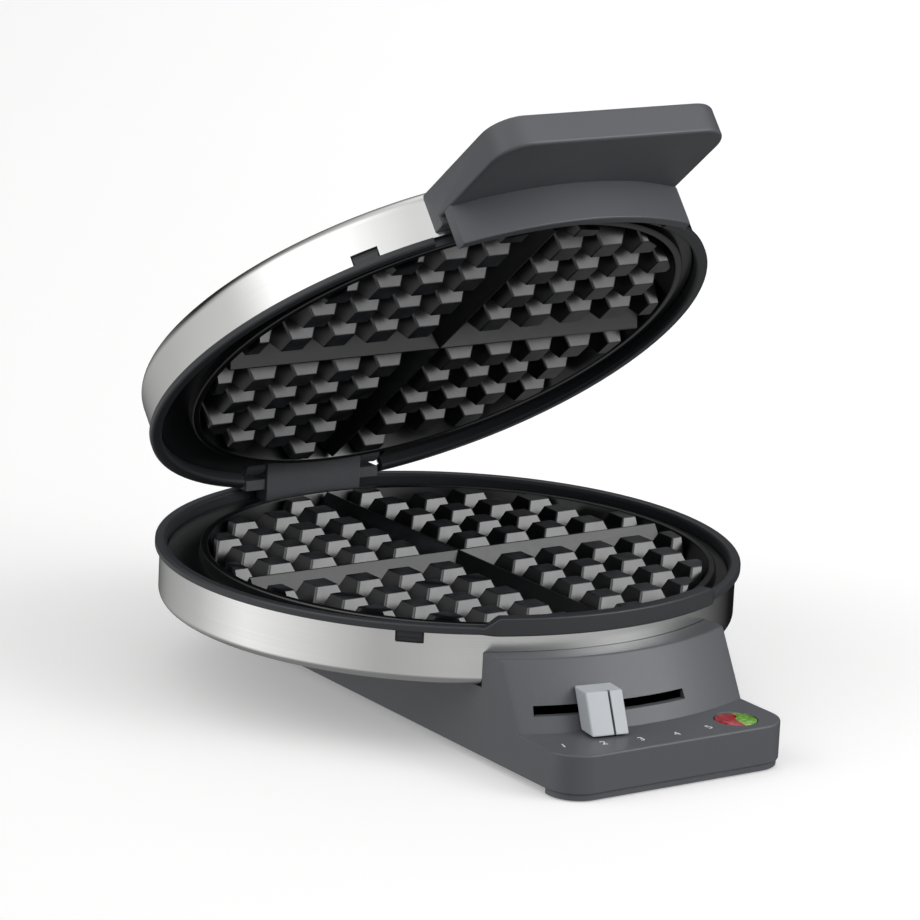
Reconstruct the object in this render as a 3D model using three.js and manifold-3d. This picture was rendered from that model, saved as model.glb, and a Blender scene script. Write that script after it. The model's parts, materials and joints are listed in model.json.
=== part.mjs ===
// Round waffle maker for the worktop: a pedestal, a lower half with its cooking plate, and a hinged lid.
// Millimetres. +Z is up, the front (handle and control) faces -Y, and the floor is at z = 0.
// The lid is modelled closed and then turned open about its hinge pin.
import * as THREE from 'three';
import { mergeVertices } from 'three/addons/utils/BufferGeometryUtils.js';
import Module from 'manifold-3d';

const wasm = await Module();
wasm.setup();

// ---------- driving dimensions ----------
const GAP = 0.3;                 // clearance between touching pieces
const SEG = 48;                  // facets of a large round piece
const BODY_Y = 17.4;             // the body axis stands this far behind the part's origin
const LID_OPEN = 39.6;           // degrees, lid angle as stored
const LID_LIFT = 1;              // gap between the two rims when the lid is closed

const RIM_R = 98;                // outer radius of both plastic rims
const RIM_TOP = 44.9;            // top of the lower rim
const LIP_H = 2.5;               // height of the rim's outer lip
const LIP_W = 4;                 // width of that lip
const SHELL_R = 96.4;            // outer radius of both steel shells
const SHELL_T = 0.9;             // steel thickness
const PAN_BOTTOM = 25.1;         // underside of the lower steel shell
const PAN_CORNER = 3;            // rounding of its lower edge
const LID_H = 19.7;              // lid height from its rim to the shoulder
const LID_CORNER = 4.5;          // rounding of the lid's shoulder
const LID_CROWN = 3.2;           // dome of the lid above the shoulder

const PLATE_Y = -6;              // the cooking well sits this far off the body axis
const PLATE_R = 93.6;            // flange radius of a cooking plate
const FLANGE_TOP = 40.9;         // top of that flange
const FLANGE_T = 2.5;
const RING_R = 86;               // raised ring round the well
const RING_TOP = 44.1;
const WELL_R = 81.6;             // foot of the well's wall
const STUD_TOP = 44.5;           // top of the waffle studs and of the dividing ridges
const STUD_H = 8;                // pocket depth
const STUD_PITCH = 16.35;
const STUD_FIRST = 14.3;         // first stud's centre from a ridge
const STUD_TOP_W = 8.2;
const STUD_BASE_W = 15.2;
const RIDGE_BASE_W = 12.4;
const RIDGE_TOP_W = 0.6;
const CASTING_T = 3.2;           // plate thickness under the pockets

const PED_HALF = 44;             // pedestal half width, shared by the handle
const PED_FRONT = -134.6;
const PED_BACK = 85;
const PED_WALL = 2.5;
const LEDGE_Z = 15.3;            // control ledge
const DECK_Z = 24.8;             // deck under the steel pan
const SKIRT_Z = 2.5;             // lower edge of the pedestal's sides
const TOE_Z = 0.4;               // lower edge of its front toe
const WALL_TOP = { r: 104.8, z: 36.4 };
const WALL_FOOT = { r: 115.5, z: LEDGE_Z };
const FRONT_CORNER = 11;
const BACK_CORNER = 16;

const HINGE = { y: 90.4, z: 55.2, r: 5.8, half: 19.3 };
const PIN_R = 2;
const EAR_T = 8;
const EAR_ROOM = HINGE.half + EAR_T + 1;      // half width cleared for the ears in the lid

const SLOT = { from: -19.6, to: 8.8, z0: 20.1, z1: 23.2 };   // degrees about the body axis
const DIAL_REST = -8.9;          // stored angle of the browning control
const KNOB_W = 13;
const KNOB_DEPTH = 8;
const KNOB_Z = [15.9, 28.6];
const LENS = { x: 28.8, y: -123.7, r: 6.8, turn: 80 };

const HANDLE_Z = [53, 63.8];     // underside and top of the grip, lid closed
const HANDLE_FRONT = -135.6;
const APRON_R = 107.5;           // outer radius of the skirt under the grip
const APRON_FOOT = 39.6;
const APRON_T = 3.7;

// ---------- colours ----------
const look = (color, roughness, metalness = 0) => ({ color, roughness, metalness });
const CHARCOAL = look(0x4c4f52, 0.55);
const BLACK = look(0x101114, 0.4);
const STEEL = look(0xc9c8c4, 0.3, 1);
const SILVER = look(0xc4c6c8, 0.45);
const RUBBER = look(0x1b1b1c, 0.9);
const ZINC = look(0x9c9d9f, 0.45, 1);
const CERAMIC = look(0xd9d4c7, 0.7);
const RED = look(0xb01822, 0.2);
const GREEN = look(0x4aa52a, 0.2);

// ---------- solids ----------
const rad = THREE.MathUtils.degToRad;

function signedVolume(position, index) {
  const a = new THREE.Vector3();
  const b = new THREE.Vector3();
  const c = new THREE.Vector3();
  let sum = 0;
  for (let i = 0; i < index.length; i += 3) {
    a.fromArray(position, index[i] * 3);
    b.fromArray(position, index[i + 1] * 3);
    c.fromArray(position, index[i + 2] * 3);
    sum += a.dot(b.cross(c)) / 6;
  }
  return sum;
}

// Closed geometry to a solid, with its faces turned outward.
function solid(geometry) {
  const bare = geometry.clone();
  bare.deleteAttribute('normal');
  bare.deleteAttribute('uv');
  const merged = mergeVertices(bare, 1e-4);
  const vertProperties = new Float32Array(merged.attributes.position.array);
  const index = Array.from(merged.index.array);
  const kept = [];
  for (let i = 0; i < index.length; i += 3) {
    const [a, b, c] = index.slice(i, i + 3);
    if (a !== b && b !== c && c !== a) kept.push(a, b, c);
  }
  if (signedVolume(vertProperties, kept) < 0) kept.reverse();
  return new wasm.Manifold(new wasm.Mesh({ numProp: 3, vertProperties, triVerts: new Uint32Array(kept) }));
}

function geometryOf(manifold) {
  const mesh = manifold.getMesh();
  const geometry = new THREE.BufferGeometry();
  const points = new Float32Array(mesh.vertProperties);
  geometry.setAttribute('position', new THREE.BufferAttribute(points, 3));
  geometry.setIndex(new THREE.BufferAttribute(new Uint32Array(mesh.triVerts), 1));
  return geometry;
}

// Solid of revolution about a vertical axis, from [radius, z] points.
function lathe(points, { seg = SEG, x = 0, y = 0 } = {}) {
  const outline = points.map(([r, z]) => new THREE.Vector2(r, z));
  const onAxis = points[0][0] === 0 && points.at(-1)[0] === 0;
  if (!onAxis) outline.push(outline[0].clone());
  return solid(new THREE.LatheGeometry(outline, seg).rotateX(Math.PI / 2).translate(x, y, 0));
}

const disc = (r, z0, z1, options) => lathe([[0, z0], [r, z0], [r, z1], [0, z1]], options);
const ring = (r0, r1, z0, z1, options) => lathe([[r0, z0], [r1, z0], [r1, z1], [r0, z1]], options);
const pin = (r, z0, z1, x, y, seg = 16) => disc(r, z0, z1, { seg, x, y });

function box(x0, x1, y0, y1, z0, z1) {
  const geometry = new THREE.BoxGeometry(x1 - x0, y1 - y0, z1 - z0);
  return solid(geometry.translate((x0 + x1) / 2, (y0 + y1) / 2, (z0 + z1) / 2));
}

// Plan outline raised from z0 to z1.
function prism(shape, z0, z1, curveSegments = 6) {
  const settings = { depth: z1 - z0, bevelEnabled: false, curveSegments };
  return solid(new THREE.ExtrudeGeometry(shape, settings).translate(0, 0, z0));
}

// Side outline in (y, z), spread across x from x0 to x1.
function sideways(shape, x0, x1, curveSegments = 8) {
  const geometry = new THREE.ExtrudeGeometry(shape, { depth: x1 - x0, bevelEnabled: false, curveSegments });
  const axes = new THREE.Matrix4().makeBasis(
    new THREE.Vector3(0, 1, 0), new THREE.Vector3(0, 0, 1), new THREE.Vector3(1, 0, 0));
  return solid(geometry.applyMatrix4(axes).translate(x0, 0, 0));
}

function polygon(points) {
  return new THREE.Shape(points.map(([x, y]) => new THREE.Vector2(x, y)));
}

// Rectangle in plan with its own corner radius at the front and at the back.
function slab(half, front, back, frontR, backR) {
  const shape = new THREE.Shape();
  shape.moveTo(-half + frontR, front);
  shape.lineTo(half - frontR, front);
  shape.absarc(half - frontR, front + frontR, frontR, -Math.PI / 2, 0);
  shape.lineTo(half, back - backR);
  shape.absarc(half - backR, back - backR, backR, 0, Math.PI / 2);
  shape.lineTo(-half + backR, back);
  shape.absarc(-half + backR, back - backR, backR, Math.PI / 2, Math.PI);
  shape.lineTo(-half, front + frontR);
  shape.absarc(-half + frontR, front + frontR, frontR, Math.PI, 1.5 * Math.PI);
  return shape;
}

// Sector of a ring in plan. Angles are degrees from the front, positive to the right.
function sector(r0, r1, from, to) {
  const shape = new THREE.Shape();
  const start = rad(from - 90);
  const end = rad(to - 90);
  shape.absarc(0, 0, r1, start, end);
  shape.absarc(0, 0, r0, end, start, true);
  return shape;
}

// The same solid on the other side of the closed halves' mating plane.
const MATING_Z = RIM_TOP + LID_LIFT / 2;
const flip = (manifold) => manifold.mirror([0, 0, 1]).translate(0, 0, 2 * MATING_Z);

const join = (...parts) => parts.reduce((a, b) => a.add(b));
const cut = (body, ...tools) => tools.reduce((a, b) => a.subtract(b), body);

// ---------- the scene graph ----------
const waffleMaker = new THREE.Group();
const base = new THREE.Group();
base.position.y = BODY_Y;
waffleMaker.add(base);

const lid = new THREE.Group();
lid.position.set(0, HINGE.y, HINGE.z);
lid.rotation.x = -rad(LID_OPEN);
base.add(lid);

const dial = new THREE.Group();
dial.rotation.z = rad(DIAL_REST);
base.add(dial);

function add(group, name, manifold, finish) {
  const mesh = new THREE.Mesh(geometryOf(manifold), new THREE.MeshStandardMaterial(finish));
  mesh.name = name;
  if (group === lid) mesh.position.set(0, -HINGE.y, -HINGE.z);
  group.add(mesh);
}

// ---------- pedestal ----------
const WALL_SLOPE = (WALL_FOOT.r - WALL_TOP.r) / (WALL_TOP.z - WALL_FOOT.z);
const wallRadius = (z) => WALL_TOP.r + WALL_SLOPE * (WALL_TOP.z - z);
const BOSS_R = 3.5;
const SCREWS = [[-37, -112], [37, -96], [-37, 60], [37, 60]];
const SPINDLE_R = 3;
const CORD_Z = 13;
const CORD_R = 5.2;               // bush neck
const CORD_BORE = 3.6;

function cone(inset, z0, z1) {
  return lathe([[0, z0], [wallRadius(z0) - inset, z0], [wallRadius(z1) - inset, z1], [0, z1]], { seg: 60 });
}

function pedestalHousing() {
  const plan = slab(PED_HALF, PED_FRONT, PED_BACK, FRONT_CORNER, BACK_CORNER);
  const inner = slab(PED_HALF - PED_WALL, PED_FRONT + PED_WALL, PED_BACK - PED_WALL,
    FRONT_CORNER - PED_WALL, BACK_CORNER - PED_WALL);
  const toePlan = slab(PED_HALF - 0.8, PED_FRONT + 0.6, PED_FRONT + 13, FRONT_CORNER - 0.8, 0.1);
  const low = prism(plan, SKIRT_Z, LEDGE_Z);
  const toe = prism(toePlan, TOE_Z, LEDGE_Z - 5);
  const high = prism(plan, LEDGE_Z - 1, WALL_TOP.z).intersect(cone(0, LEDGE_Z - 2, WALL_TOP.z));
  const outside = join(low, toe, high).subtract(disc(SHELL_R + GAP, DECK_Z, WALL_TOP.z + 1));
  const under = prism(inner, TOE_Z - 1, LEDGE_Z - PED_WALL);
  const room = prism(inner, LEDGE_Z - 4, DECK_Z - PED_WALL).intersect(cone(PED_WALL, LEDGE_Z - 5, DECK_Z));
  const lipRoom = lathe([
    [SHELL_R + PED_WALL, DECK_Z - 4], [wallRadius(DECK_Z - 4) - PED_WALL, DECK_Z - 4],
    [wallRadius(WALL_TOP.z - PED_WALL) - PED_WALL, WALL_TOP.z - PED_WALL],
    [SHELL_R + PED_WALL, WALL_TOP.z - PED_WALL]], { seg: 60 })
    .intersect(box(-PED_HALF + PED_WALL, PED_HALF - PED_WALL, PED_FRONT, -60, 0, 60));
  const hollow = cut(outside, under, room, lipRoom);
  const slot = prism(sector(100, 120, SLOT.from, SLOT.to), SLOT.z0, SLOT.z1, 12);
  const lensHole = pin(LENS.r + GAP, 5, LEDGE_Z + 1, LENS.x, LENS.y, 24);
  const spindleHole = pin(SPINDLE_R + 2, 20, 30, 0, 0);
  const cordHole = lyingPin(CORD_R + GAP, PED_BACK - 10, PED_BACK + 5, CORD_Z);
  const bosses = SCREWS.map(([x, y]) => pin(BOSS_R, 6.4, 14, x, y, 12));
  const webs = SCREWS.map(([x, y]) => box(Math.min(x, Math.sign(x) * 42), Math.max(x, Math.sign(x) * 42),
    y - 1, y + 1, 6.4, 14));
  const bores = SCREWS.map(([x, y]) => pin(SCREW_BORE, 3, 11.5, x, y, 12));
  const pillars = PAN_SCREWS.map(([x, y]) => pin(BOSS_R, 17, DECK_Z - 1, x, y, 12));
  const pillarBores = PAN_SCREWS.map(([x, y]) => pin(SCREW_BORE, 18.6, DECK_Z + 1, x, y, 12));
  const body = join(hollow, ...bosses, ...webs, ...pillars);
  return cut(body, slot, lensHole, spindleHole, cordHole, ...bores, ...pillarBores);
}

// Round bar lying along y, from y0 to y1.
function lyingPin(r, y0, y1, z, x = 0, seg = 16) {
  const geometry = new THREE.CylinderGeometry(r, r, y1 - y0, seg);
  return solid(geometry.translate(x, (y0 + y1) / 2, z));
}

const COVER_Z = [3.9, 6.1];

function bottomCover() {
  const edge = PED_WALL + GAP;
  const plan = slab(PED_HALF - edge, PED_FRONT + edge, PED_BACK - edge,
    FRONT_CORNER - edge, BACK_CORNER - edge);
  const plate = prism(plan, ...COVER_Z);
  const holes = SCREWS.map(([x, y]) => pin(SCREW_BORE, 3, 7, x, y, 12));
  const vents = [-30, -10, 10, 30].map((y) => box(-14, 14, y - 1.6, y + 1.6, 3, 7));
  return cut(plate, ...holes, ...vents);
}

// Screw with its head at z0 and its tip at z1; the tip may be above or below the head.
const SCREW = { head: 3, headH: 1.4, shank: 1.5 };
const SCREW_BORE = SCREW.shank + GAP;

function screw(x, y, z0, z1) {
  const up = Math.sign(z1 - z0);
  const crown = [z0, z0 + up * SCREW.headH].sort((a, b) => a - b);
  const shank = [z0 + up, z1].sort((a, b) => a - b);
  return join(pin(SCREW.head, ...crown, x, y, 12), pin(SCREW.shank, ...shank, x, y, 8));
}

const FEET = { left_front: [-26, -110], right_front: [26, -110], left_rear: [-26, 68], right_rear: [26, 68] };

function foot([x, y]) {
  const top = COVER_Z[0] - GAP;
  return lathe([[0, 0], [6.4, 0], [7, 0.8], [6.6, top], [0, top]], { seg: 16, x, y });
}

// ---------- lower half ----------
const TABS = [-41, 79, 199];     // degrees round the rim, from the front
const TAB_HALF = 2.35;
const NOTCH_HALF = 2.7;
const NOTCH_H = 3.6;

const arcPoints = (r, z, radius, from, to, steps) => Array.from({ length: steps + 1 }, (_, i) => {
  const angle = rad(from + (to - from) * i / steps);
  return [r + radius * Math.cos(angle), z + radius * Math.sin(angle)];
});

function lowerShell() {
  const corner = [SHELL_R - PAN_CORNER, PAN_BOTTOM + PAN_CORNER];
  const top = RIM_TOP - LIP_H - GAP;
  const outer = arcPoints(...corner, PAN_CORNER, -90, 0, 3);
  const inner = arcPoints(...corner, PAN_CORNER - SHELL_T, 0, -90, 3);
  const pan = lathe([[9, PAN_BOTTOM], ...outer, [SHELL_R, top], [SHELL_R - SHELL_T, top], ...inner,
    [9, PAN_BOTTOM + SHELL_T]]);
  const notch = (a) => prism(sector(90, 100, a - NOTCH_HALF, a + NOTCH_HALF), top - NOTCH_H, top + 1, 1);
  const notches = TABS.map(notch);
  const holes = [...PAN_SCREWS, ...POST_SCREWS].map(([x, y]) => pin(SCREW_BORE, 20, 27, x, y, 12));
  return cut(pan, ...notches, ...holes);
}

const RIM_SKIRT = [RIM_R - LIP_W, SHELL_R - SHELL_T - GAP];

function rimRing() {
  const [in0, out0] = RIM_SKIRT;
  const low = RIM_TOP - LIP_H;
  const shelf = FLANGE_TOP - FLANGE_T - GAP;
  return lathe([[in0, RIM_TOP - 1], [in0 + 0.6, RIM_TOP], [RIM_R - 1, RIM_TOP], [RIM_R, RIM_TOP - 1],
    [RIM_R, low], [out0, low], [out0, shelf - 1.6], [91.4, shelf - 1.6], [91.4, shelf], [in0, shelf]]);
}

function rimTabs() {
  const low = RIM_TOP - LIP_H;
  return TABS.map((a) => prism(sector(RIM_SKIRT[1] - 0.5, SHELL_R, a - TAB_HALF, a + TAB_HALF), low - 2.4,
    low + 0.5, 1));
}

const POST_BACK = 91.6;

function lowerRim() {
  const low = RIM_TOP - LIP_H;
  const wide = 25.6;             // half angle of the raised apron
  const apron = prism(sector(95.6, 100.2, -wide, wide), low, 48.4, 10);
  const body = join(rimRing(), ...rimTabs(), apron);
  const reach = HINGE.half + GAP;
  return cut(body, box(-reach, reach, HINGE.y - HINGE.r - GAP, POST_BACK + GAP, 0, RIM_TOP + 0.6));
}

function studSolids() {
  const floor = STUD_TOP - STUD_H;
  const sink = 0.6;
  const rise = STUD_H + sink;
  const half = STUD_BASE_W / 2 + (STUD_BASE_W - STUD_TOP_W) / 2 * sink / STUD_H;
  const parts = [];
  for (let i = 0; i < 5; i++) {
    for (let j = 0; j < 5; j++) {
      const x = STUD_FIRST + i * STUD_PITCH;
      const y = STUD_FIRST + j * STUD_PITCH;
      const near = Math.hypot(x - STUD_TOP_W / 2, y - STUD_TOP_W / 2);
      if (near > WELL_R - 4) continue;
      for (const [sx, sy] of [[1, 1], [1, -1], [-1, 1], [-1, -1]]) {
        const stud = new THREE.CylinderGeometry(STUD_TOP_W / Math.SQRT2, half * Math.SQRT2, rise, 4);
        stud.rotateY(Math.PI / 4).rotateX(Math.PI / 2);
        parts.push(solid(stud.translate(sx * x, sy * y, floor - sink + rise / 2)));
      }
    }
  }
  return parts;
}

function ridge() {
  const floor = STUD_TOP - STUD_H;
  const sink = 0.6;
  const base = RIDGE_BASE_W / 2 + sink * 0.7;
  const top = RIDGE_TOP_W / 2;
  const outline = polygon([[-base, floor - sink], [base, floor - sink], [top, STUD_TOP], [-top, STUD_TOP]]);
  return sideways(outline, -WELL_R, WELL_R);
}

function cookingPlate() {
  const floor = STUD_TOP - STUD_H;
  const under = floor - CASTING_T;
  const seat = FLANGE_TOP - FLANGE_T;
  const well = lathe([[0, under], [WELL_R - 1, under], [WELL_R + 3.3, under + 3], [WELL_R + 3.3, seat],
    [RING_R + 0.6, seat], [RING_R, RING_TOP], [RING_R - 2.4, RING_TOP], [WELL_R, floor], [0, floor]]);
  const across = ridge();
  const field = join(...studSolids(), across, across.rotate([0, 0, 90]));
  const trimmed = field.intersect(disc(WELL_R - 0.2, floor - 1, STUD_TOP + 1));
  const flange = disc(PLATE_R, FLANGE_TOP - FLANGE_T, FLANGE_TOP);
  const dish = join(well, trimmed).translate(0, PLATE_Y, 0);
  const open = flange.subtract(disc(RING_R - 1, 30, 50).translate(0, PLATE_Y, 0));
  const nook = box(-HINGE.half - 2 * GAP, HINGE.half + 2 * GAP, HINGE.y - HINGE.r - 2 * GAP, 100, 30, 60);
  return join(dish, open).subtract(nook);
}

// Tubular heater bent to a broken ring, both ends beside each other at the back.
const HEATER_R = 3;
const HEATER_RING = 58;

class HeaterPath extends THREE.Curve {
  getPoint(t, target = new THREE.Vector3()) {
    const angle = rad(102 + 336 * t);
    return target.set(HEATER_RING * Math.cos(angle), HEATER_RING * Math.sin(angle), 0);
  }
}

function heater(z) {
  const section = new THREE.Shape();
  section.absarc(0, 0, HEATER_R, 0, 2 * Math.PI);
  const settings = { extrudePath: new HeaterPath(), steps: 28, curveSegments: 4, bevelEnabled: false };
  return solid(new THREE.ExtrudeGeometry(section, settings)).translate(0, PLATE_Y, z);
}

const PAN_SCREWS = [[-30, 30], [30, 30], [-30, -40], [30, -40]];
const POST_SCREWS = [[-12, 88.1], [12, 88.1]];
const PLATE_UNDER = STUD_TOP - STUD_H - CASTING_T;

// Thin reflector dish between the heater and the steel.
const shield = (r, z) => ring(10, r, z, z + 0.6, { seg: 32 });

function hingePost() {
  const { y, z, r, half } = HINGE;
  const side = new THREE.Shape();
  side.moveTo(y - r, 26.4);
  side.lineTo(POST_BACK, 26.4);
  side.lineTo(POST_BACK, 45.3);
  side.lineTo(y + r, 47);
  side.absarc(y, z, r, 0, Math.PI);
  // Wide shoulder on top of the rim, under the lid's ears.
  const shoulder = box(-half - EAR_T, half + EAR_T, y - r + 1, y + r, RIM_TOP + GAP, z - r - 2 * GAP);
  const post = join(sideways(side, -half, half), shoulder);
  const bores = POST_SCREWS.map(([x, at]) => pin(SCREW_BORE, 26, 38.5, x, at, 12));
  return cut(post, acrossPin(PIN_R + GAP, -40, 40), ...bores);
}

// Round bar across x, on the hinge axis.
function acrossPin(r, x0, x1, seg = 16) {
  const geometry = new THREE.CylinderGeometry(r, r, x1 - x0, seg).rotateZ(Math.PI / 2);
  return solid(geometry.translate((x0 + x1) / 2, HINGE.y, HINGE.z));
}

// ---------- browning control ----------
function knob() {
  const [z0, z1] = KNOB_Z;
  const back = (z) => -(wallRadius(z) + 0.5);
  const outline = polygon([[back(z0), z0], [back(z0) - KNOB_DEPTH, z0], [back(z1) - KNOB_DEPTH, z1 - 0.8],
    [back(z1) - KNOB_DEPTH + 1, z1], [back(z1), z1]]);
  const body = sideways(outline, -KNOB_W / 2, KNOB_W / 2);
  const groove = box(1.2, 2, -140, back(z1) - KNOB_DEPTH + 1.4, 0, z1 + 1)
    .intersect(cut(box(-20, 20, -140, 0, z0 - 1, z1 + 1), cone(-KNOB_DEPTH + 0.7, z0 - 2, z1 + 2)));
  const socket = box(-LEVER_W / 2 - GAP, LEVER_W / 2 + GAP, -116, 0, LEVER_Z[0] - GAP, LEVER_Z[1] + GAP);
  return cut(body, socket, groove);
}

const LEVER_W = 7;
const LEVER_Z = [20.7, 22.1];

function lever() {
  const blade = box(-LEVER_W / 2, LEVER_W / 2, -115.6, 0, ...LEVER_Z);
  const hub = disc(8, ...LEVER_Z, { seg: 20 });
  return cut(join(blade, hub), disc(SPINDLE_R + GAP, 19, 24, { seg: 20 }));
}

const spindle = () => join(disc(SPINDLE_R, 19.4, 28.2, { seg: 20 }), disc(5, 18, 20.4, { seg: 20 }));

// ---------- lamps ----------
// The lens is one round window in two colours, parted by an S-shaped line.
function lensHalf(side) {
  const r = LENS.r;
  const shape = new THREE.Shape();
  const a0 = rad(LENS.turn);
  const play = 0.15;
  shape.absarc(0, 0, r, a0, a0 + Math.PI);
  shape.bezierCurveTo(-3, 3.2, 3, -3.2, r * Math.cos(a0), r * Math.sin(a0));
  const settings = { depth: 3.2, bevelEnabled: false, curveSegments: 10 };
  const half = new THREE.ExtrudeGeometry(shape, settings);
  if (side < 0) half.rotateZ(Math.PI);
  half.translate(LENS.x - side * play * Math.sin(a0), LENS.y + side * play * Math.cos(a0), LEDGE_Z - 2.6);
  return solid(half);
}

function lampHolder() {
  const cup = disc(8.4, 6.8, 12.4, { seg: 24, x: LENS.x, y: LENS.y });
  const bays = [-1, 1].map((s) => pin(2.6, 7.8, 13, LENS.x + 3.4 * s, LENS.y, 12));
  return cut(cup, ...bays);
}

const lamp = (side) => pin(2.2, 8.1, 12.2, LENS.x + 3.4 * side, LENS.y, 10);

// ---------- lid ----------
const LID_BASE = RIM_TOP + LID_LIFT;
const LID_SHOULDER = LID_BASE + LID_H;
const CROWN_STEPS = 3;

function crown(inset) {
  const edge = SHELL_R - LID_CORNER;
  return Array.from({ length: CROWN_STEPS + 1 }, (_, i) => {
    const r = edge * (1 - i / CROWN_STEPS);
    return [r, LID_SHOULDER - inset + LID_CROWN * (1 - (r / edge) ** 2)];
  });
}

function lidShell() {
  const low = LID_BASE + LIP_H + GAP;
  const corner = [SHELL_R - LID_CORNER, LID_SHOULDER - LID_CORNER];
  const outer = arcPoints(...corner, LID_CORNER, 0, 90, 3);
  const inner = arcPoints(...corner, LID_CORNER - SHELL_T, 90, 0, 3);
  const shell = lathe([...crown(SHELL_T).reverse(), ...inner.slice(1), [SHELL_R - SHELL_T, low],
    [SHELL_R, low], ...outer, ...crown(0).slice(1)]);
  const notch = (a) => prism(sector(90, 100, a - NOTCH_HALF, a + NOTCH_HALF), low - 1, low + NOTCH_H, 1);
  const notches = TABS.map(notch);
  const hinge = box(-EAR_ROOM, EAR_ROOM, 60, 100, low - 1, HINGE.z + HINGE.r + 1);
  const screws = HANDLE_SCREWS.map((x) => lyingPin(1.6 + GAP, -100, -80, 58.4, x));
  return cut(shell, ...notches, hinge, ...screws);
}

const HANDLE_SCREWS = [-30, 30];

function upperRim() {
  const body = join(flip(rimRing()), ...rimTabs().map(flip));
  const front = prism(sector(94.6, 110, -28, 28), LID_BASE - 1, 49.6, 10);
  const back = box(-EAR_ROOM, EAR_ROOM, HINGE.y - HINGE.r - 2 * GAP, 110, 40, 60);
  return cut(body, front, back);
}

function upperPlate() {
  const ears = box(-EAR_ROOM, EAR_ROOM, HINGE.y - HINGE.r - 2 * GAP, 100, 40, 60);
  const bores = BRACKET_SCREWS.map(([x, y]) => pin(SCREW_BORE, 50.4, 54, x, y, 12));
  return cut(flip(cookingPlate()), ears, ...bores);
}

const BRACKET_SCREWS = [[-12, 82], [12, 82]];

function lidBracket() {
  const { y, z, r, half } = HINGE;
  const side = new THREE.Shape();
  side.moveTo(79.4, 52.8);
  side.lineTo(84.6, 52.8);
  side.lineTo(y - 2.5, z - 5.2);
  side.absarc(y, z, r, -2.0, Math.PI / 2);
  side.lineTo(83.4, z + r);
  side.lineTo(79.4, 57.4);
  const blank = sideways(side, -half - GAP - EAR_T, half + GAP + EAR_T);
  const between = box(-half - GAP, half + GAP, y - r - 2 * GAP, 110, 40, 80);
  const bores = BRACKET_SCREWS.map(([x, at]) => pin(SCREW_BORE, 50, 66, x, at, 12));
  return cut(blank, between, acrossPin(PIN_R + GAP, -40, 40), ...bores);
}

function handle() {
  const [low, top] = HANDLE_Z;
  const plan = slab(PED_HALF, HANDLE_FRONT, -60, FRONT_CORNER, 1);
  const grip = prism(plan, low, top);
  const rails = box(-PED_HALF, PED_HALF, -130, -60, APRON_FOOT, low + 1);
  const skirt = ring(APRON_R - APRON_T, APRON_R, APRON_FOOT, low + 0.5, { seg: 60 }).intersect(rails);
  const root = ring(SHELL_R + GAP, APRON_R - 1, 50.2, low + 0.5, { seg: 60 }).intersect(rails);
  const body = cut(join(grip, skirt, root), disc(SHELL_R + GAP, 30, 80, { seg: 60 }));
  const bores = HANDLE_SCREWS.map((x) => lyingPin(1.6 + GAP, -104, -80, 58.4, x));
  return cut(body, ...bores);
}

const handleScrew = (x) => join(
  lyingPin(1.6, -103, -84.6, 58.4, x, 8), lyingPin(3.2, -85.6, -84.2, 58.4, x, 12));

// Rubber bush in the rear wall, with a flange outside; the cord's way in.
function cordBush() {
  const neck = lyingPin(CORD_R, PED_BACK - 6, PED_BACK + 1, CORD_Z);
  const collar = lyingPin(CORD_R + 2, PED_BACK + GAP, PED_BACK + 4, CORD_Z);
  const bore = lyingPin(CORD_BORE, PED_BACK - 20, PED_BACK + 20, CORD_Z);
  return cut(join(neck, collar), bore);
}

// ---------- assembly ----------
add(base, 'pedestal_housing', pedestalHousing(), CHARCOAL);
add(base, 'bottom_cover', bottomCover(), BLACK);
for (const [place, at] of Object.entries(FEET)) add(base, `foot_${place}`, foot(at), RUBBER);
SCREWS.forEach(([x, y], i) => {
  add(base, `cover_screw_${i + 1}`, screw(x, y, COVER_Z[0] - SCREW.headH - GAP, 11), ZINC);
});
PAN_SCREWS.forEach(([x, y], i) => {
  const head = PAN_BOTTOM + SHELL_T + GAP + SCREW.headH;
  add(base, `pan_screw_${i + 1}`, screw(x, y, head, 19), ZINC);
});
add(base, 'lower_steel_shell', lowerShell(), STEEL);
add(base, 'lower_rim', lowerRim(), CHARCOAL);
add(base, 'lower_cooking_plate', cookingPlate(), BLACK);
add(base, 'lower_heating_element', heater(PLATE_UNDER - GAP - HEATER_R), ZINC);
add(base, 'thermostat_body', box(-13, 13, -10, 16, 28.4, PLATE_UNDER - GAP), CERAMIC);
add(base, 'thermal_fuse', lyingPin(2, -36, -22, PLATE_UNDER - GAP - 2, 14, 10), ZINC);
add(base, 'terminal_block', box(-16, 16, 44, 56, 6.4, 16), CERAMIC);
add(base, 'indicator_lens_red', lensHalf(1), RED);
add(base, 'indicator_lens_green', lensHalf(-1), GREEN);
add(base, 'lamp_holder', lampHolder(), BLACK);
add(base, 'neon_lamp_red', lamp(-1), RED);
add(base, 'neon_lamp_green', lamp(1), GREEN);
add(base, 'cord_inlet_bush', cordBush(), RUBBER);
add(base, 'hinge_post', hingePost(), CHARCOAL);
POST_SCREWS.forEach(([x, y], i) => {
  add(base, `hinge_post_screw_${i + 1}`, screw(x, y, PAN_BOTTOM - GAP - SCREW.headH, 38), ZINC);
});
add(base, 'hinge_pin', acrossPin(PIN_R, -HINGE.half - EAR_T - 1, HINGE.half + EAR_T + 1), ZINC);

add(dial, 'browning_knob', knob(), SILVER);
add(dial, 'browning_lever', lever(), ZINC);
add(dial, 'thermostat_spindle', spindle(), ZINC);

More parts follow.
